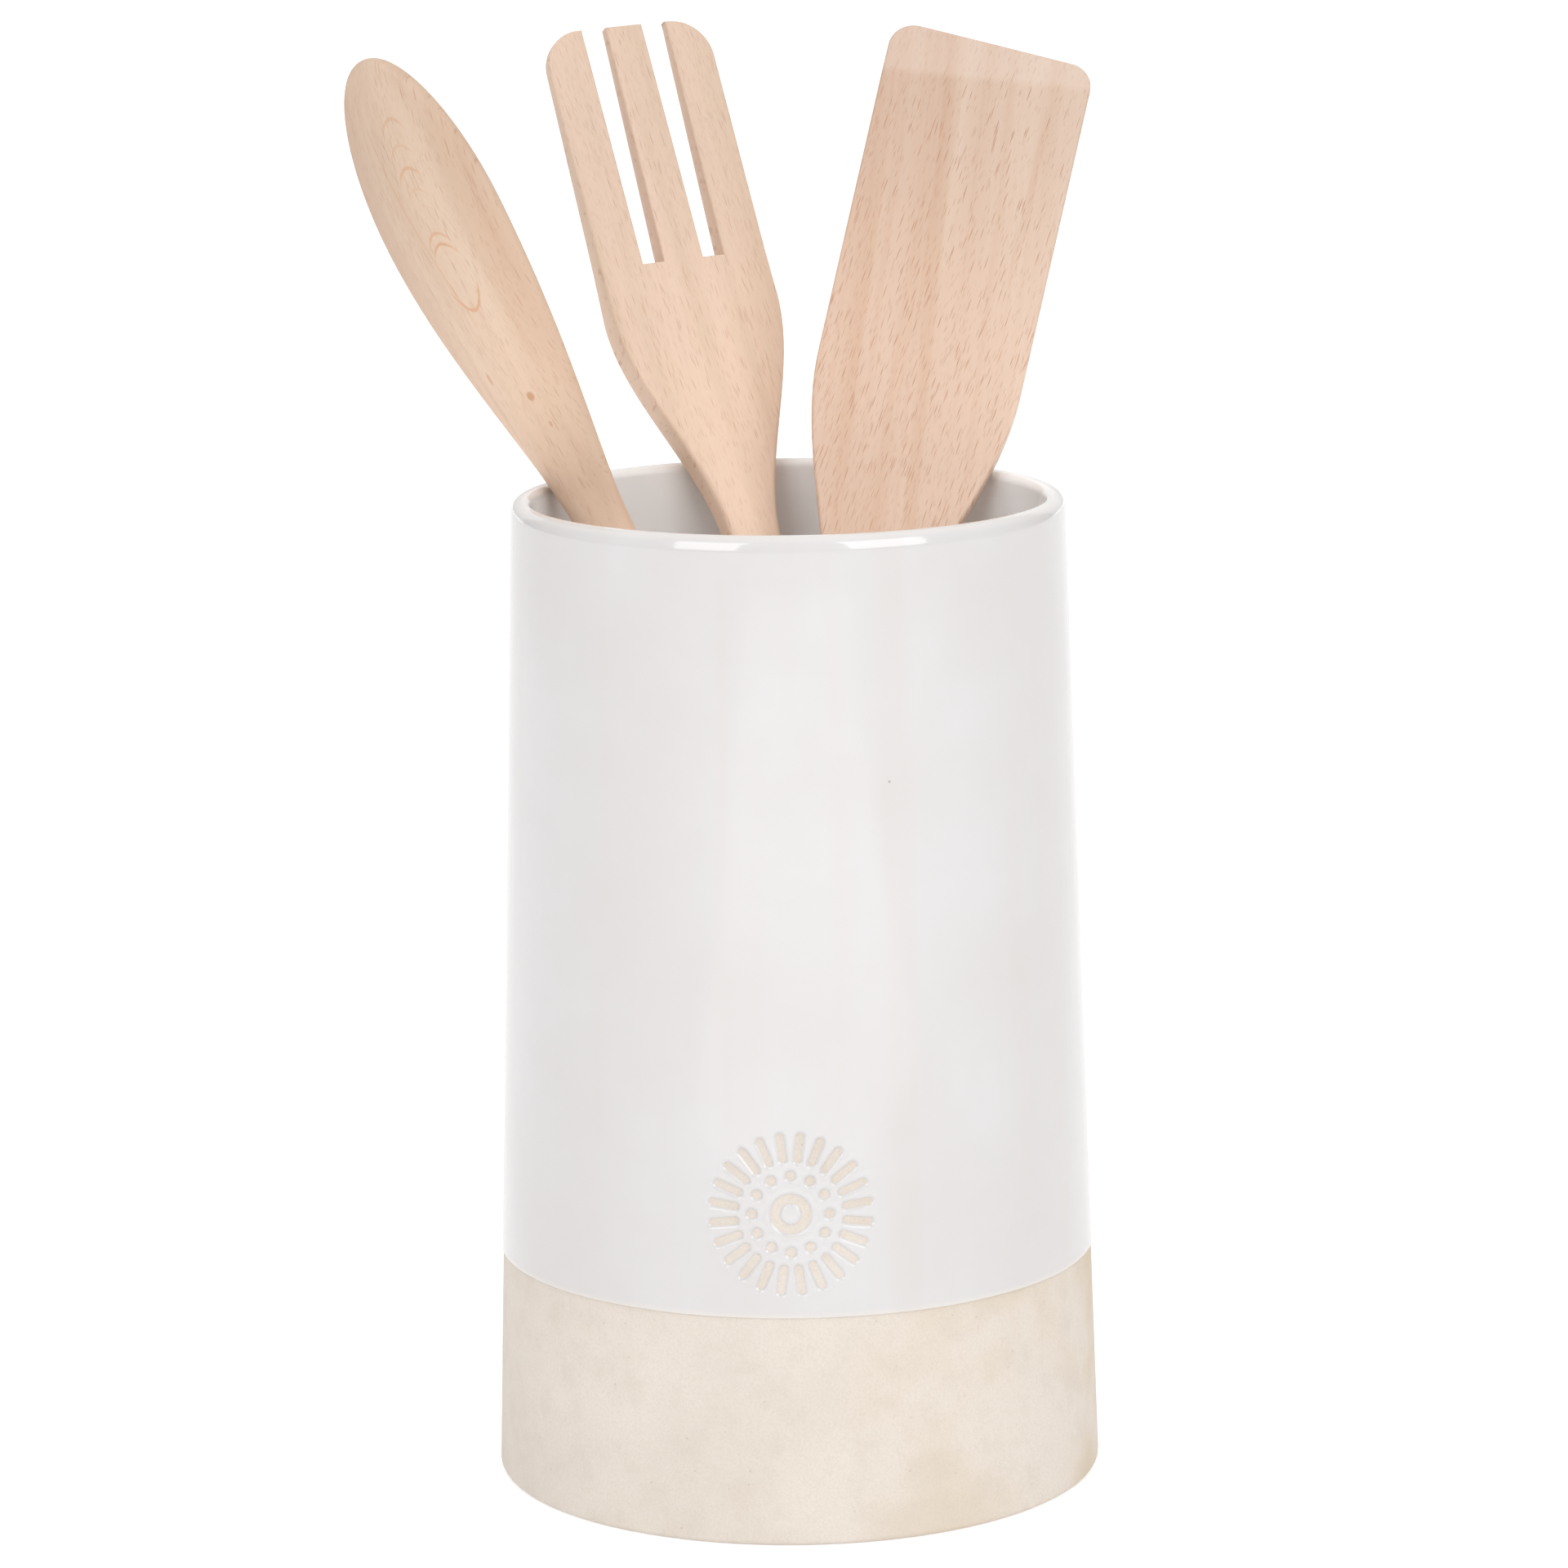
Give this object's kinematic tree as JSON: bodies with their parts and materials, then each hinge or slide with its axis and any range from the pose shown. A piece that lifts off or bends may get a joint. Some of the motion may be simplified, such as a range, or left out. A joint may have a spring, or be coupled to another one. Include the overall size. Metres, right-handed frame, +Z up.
{
  "type": "utensil crock",
  "caption": "Round stoneware crock with a glazed upper part and a bare clay band at the foot, holding a loose wooden spoon, fork and spatula.",
  "frame": {"origin": "centre of the crock's foot, on the surface that it stands on", "axes": "+Z up along the crock's axis, -Y towards the front, +X to the right seen from the front"},
  "size_m": [0.1294, 0.1294, 0.2458],
  "materials": {
    "clay": "matte",
    "glaze": "gloss",
    "spoon_wood": "matte",
    "fork_wood": "matte",
    "spatula_wood": "matte"
  },
  "bodies": {
    "crock": {"clay_body": "clay", "glaze_coat": "glaze"},
    "spoon": {"spoon": "spoon_wood"},
    "fork": {"fork": "fork_wood"},
    "spatula": {"spatula": "spatula_wood"}
  },
  "joints": [
    {"name": "spoon_lift", "type": "slide", "parent": "crock", "child": "spoon", "axis": [-0.4219, -0.0132, 0.9065], "range_m": [0, 0.2]},
    {"name": "fork_lift", "type": "slide", "parent": "crock", "child": "fork", "axis": [-0.223, 0.3735, 0.9004], "range_m": [0, 0.2]},
    {"name": "spatula_lift", "type": "slide", "parent": "crock", "child": "spatula", "axis": [0.232, 0.3352, 0.9131], "range_m": [0, 0.2]}
  ]
}
